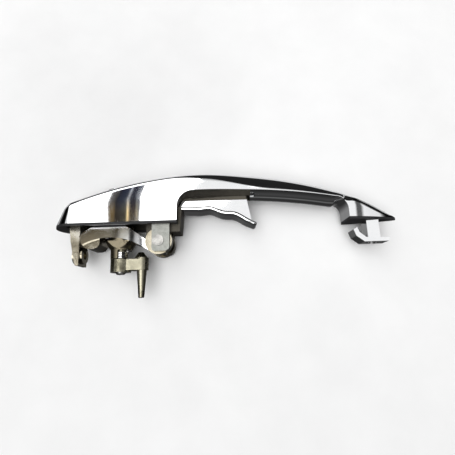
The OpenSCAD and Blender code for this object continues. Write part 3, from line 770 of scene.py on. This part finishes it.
floor_mesh = bpy.data.meshes.new("floor")
reach, floor_z = 2.5, low[2] - 0.0005
floor_mesh.from_pydata([(-reach, -reach, floor_z), (reach, -reach, floor_z), (reach, reach, floor_z),
                        (-reach, reach, floor_z)], [], [(0, 1, 2, 3)])
floor = bpy.data.objects.new("floor", floor_mesh)
scene.collection.objects.link(floor)
paper = Shader("pale_paper", metallic=0.0, roughness=0.8)
paper.bsdf.inputs["Specular IOR Level"].default_value = 0.1
paper.colour(paper.ramp(paper.noise(30, 5), [(0.3, (0.86, 0.86, 0.86)), (0.7, (0.9, 0.9, 0.9))]))
paper.bump(paper.noise(900, 3), 0.0001, 0.1)
floor_mesh.materials.append(paper.material)
floor.visible_glossy = False

world = bpy.data.worlds.new("studio")
scene.world = world
world.use_nodes = True
tree = world.node_tree
background = tree.nodes["Background"]
direction = tree.nodes.new("ShaderNodeTexCoord").outputs["Generated"]
split = tree.nodes.new("ShaderNodeSeparateXYZ")
tree.links.new(direction, split.inputs["Vector"])


def math_node(kind, a, b=None):
    node = tree.nodes.new("ShaderNodeMath")
    node.operation = kind
    for socket, value in zip(node.inputs, (a, b)):
        if isinstance(value, (int, float)):
            socket.default_value = value
        elif value is not None:
            tree.links.new(value, socket)
    return node.outputs[0]


def world_ramp(value, stops):
    node = tree.nodes.new("ShaderNodeValToRGB")
    elements = node.color_ramp.elements
    while len(elements) < len(stops):
        elements.new(0.5)
    for element, (at, grey) in zip(elements, stops):
        element.position = at
        element.color = (grey, grey, grey, 1.0)
    tree.links.new(value, node.inputs["Fac"])
    return node.outputs["Color"]


# brightness by the angle round the handle's long axis: 0 is in front of the outer
# face, 90 overhead, 180 behind it and -90 below
around = math_node("ARCTAN2", split.outputs["Z"], math_node("MULTIPLY", split.outputs["Y"], -1))
around = math_node("ADD", math_node("DIVIDE", around, math.tau), 0.5)
rings = [(-180, 0.03), (-168, 0.06), (-155, 0.03), (-147, 0.15), (-138, 0.03), (-112, 0.03), (-100, 0.07),
         (-88, 0.14), (-62, 0.35), (-42, 0.8), (-6, 0.75), (2, 0.02), (63.5, 0.015), (66, 0.95), (92, 1.0),
         (97, 0.9), (101, 0.06), (126, 0.03), (133, 0.26), (140, 0.03), (165, 0.02), (180, 0.03)]
rings = world_ramp(around, [((angle + 180) / 360, grey) for angle, grey in rings])
along = world_ramp(math_node("ABSOLUTE", split.outputs["X"]),
                   [(0, 1.0), (0.565, 1.0), (0.595, 0.1), (0.655, 0.12), (0.685, 0.95), (0.84, 0.9),
                    (0.88, 0.04), (0.97, 0.05), (1.0, 0.3)])
product = tree.nodes.new("ShaderNodeMix")
product.data_type = "RGBA"
product.blend_type = "MULTIPLY"
product.inputs[0].default_value = 1.0
tree.links.new(rings, product.inputs[6])
tree.links.new(along, product.inputs[7])
tree.links.new(product.outputs[2], background.inputs["Color"])
background.inputs["Strength"].default_value = 1.0
plain = tree.nodes.new("ShaderNodeBackground")
plain.inputs["Color"].default_value = (0.9, 0.9, 0.9, 1.0)
seen = tree.nodes.new("ShaderNodeLightPath")
either = tree.nodes.new("ShaderNodeMixShader")
tree.links.new(seen.outputs["Is Camera Ray"], either.inputs[0])
tree.links.new(background.outputs[0], either.inputs[1])
tree.links.new(plain.outputs[0], either.inputs[2])
tree.links.new(either.outputs[0], tree.nodes["World Output"].inputs["Surface"])


def softbox(name, at, aim, width, height, power):
    light = bpy.data.lights.new(name, "AREA")
    light.shape = "RECTANGLE"
    light.size = width
    light.size_y = height
    light.energy = power
    obj = bpy.data.objects.new(name, light)
    scene.collection.objects.link(obj)
    obj.location = at
    obj.rotation_euler = (Vector(aim) - Vector(at)).to_track_quat("-Z", "Y").to_euler()


middle = ((low[0] + high[0]) / 2, (low[1] + high[1]) / 2, 0)
sun = bpy.data.objects.new("even_sun", bpy.data.lights.new("even_sun", "SUN"))
scene.collection.objects.link(sun)
sun.data.energy = 1.9
sun.data.angle = math.radians(50)
sun.rotation_euler = (math.radians(-18), math.radians(12), 0)
softbox("key_softbox", (0.35, -0.5, 0.9), middle, 0.9, 0.9, 5)

# two glowing cards beside the camera, seen only in reflections: painted reflections of dark bands and light
# streaks that cross the flat sides and the arch
card_z = 0.205
black, white = (0.03, 0.03, 0.045), (1.0, 1.0, 1.0)
painted_light_streak = (0.8, 0.8, 0.8)
# side card: painted dark bands with a light streak and a warm highlight, reflected in the flat sides
card("side_card_painted_reflection", [(0.034, -0.125), (0.078, -0.125), (0.073, -0.046), (0.036, -0.046)],
     [(0.0, (0.04, 0.05, 0.08)), (0.09, (0.05, 0.06, 0.09)), (0.12, (0.28, 0.3, 0.34)),
      (0.16, black), (0.33, black), (0.35, painted_light_streak), (0.375, painted_light_streak),
      (0.4, (0.05, 0.06, 0.085)), (0.58, (0.03, 0.035, 0.055)), (0.7, (0.02, 0.02, 0.03)),
      (0.74, (0.1, 0.09, 0.08)), (1.0, (0.07, 0.065, 0.06))],
     [(0.0, (0.8, 0.85, 1.0)), (0.6, white), (0.8, (2.2, 1.7, 0.9)), (1.0, (1.6, 1.2, 0.6))])
# arch card: painted brownish shade, dark bands and bright streaks, reflected in the arch
card("arch_card_painted_reflection", [(0.036, -0.0455), (0.135, -0.0455), (0.135, 0.004), (0.030, 0.004)],
     [(0.0, (0.03, 0.03, 0.04)), (0.06, (0.04, 0.04, 0.05)), (0.08, painted_light_streak), (0.12, (0.6, 0.6, 0.6)),
      (0.14, (0.03, 0.03, 0.03)), (0.18, (0.04, 0.04, 0.04)), (0.2, (0.95, 0.94, 0.9)),
      (0.27, (0.8, 0.78, 0.7)), (0.33, (0.14, 0.12, 0.09)), (0.4, (0.36, 0.33, 0.25)),
      (0.62, (0.26, 0.22, 0.15)), (1.0, (0.1, 0.08, 0.055))],
     [(0.0, (0.3, 0.27, 0.22)), (0.3, white), (0.8, (0.9, 0.85, 0.8)), (1.0, (0.5, 0.45, 0.4))])

camera = bpy.data.objects.new("camera", bpy.data.cameras.new("camera"))
scene.collection.objects.link(camera)
camera.data.lens = 26.8
camera.data.sensor_width = 36
camera.data.clip_start = 0.01
right = Vector((-0.99945, 0.03316, 0.0))
back = Vector((0.0073, 0.22008, 0.97546)).normalized()
up = back.cross(right)
camera_at = (-0.0638, 0.0476, 0.2055)
placed = Matrix((right, up, back)).transposed().to_4x4()
placed.translation = camera_at
camera.matrix_world = placed
scene.camera = camera
scene.view_settings.view_transform = "Standard"
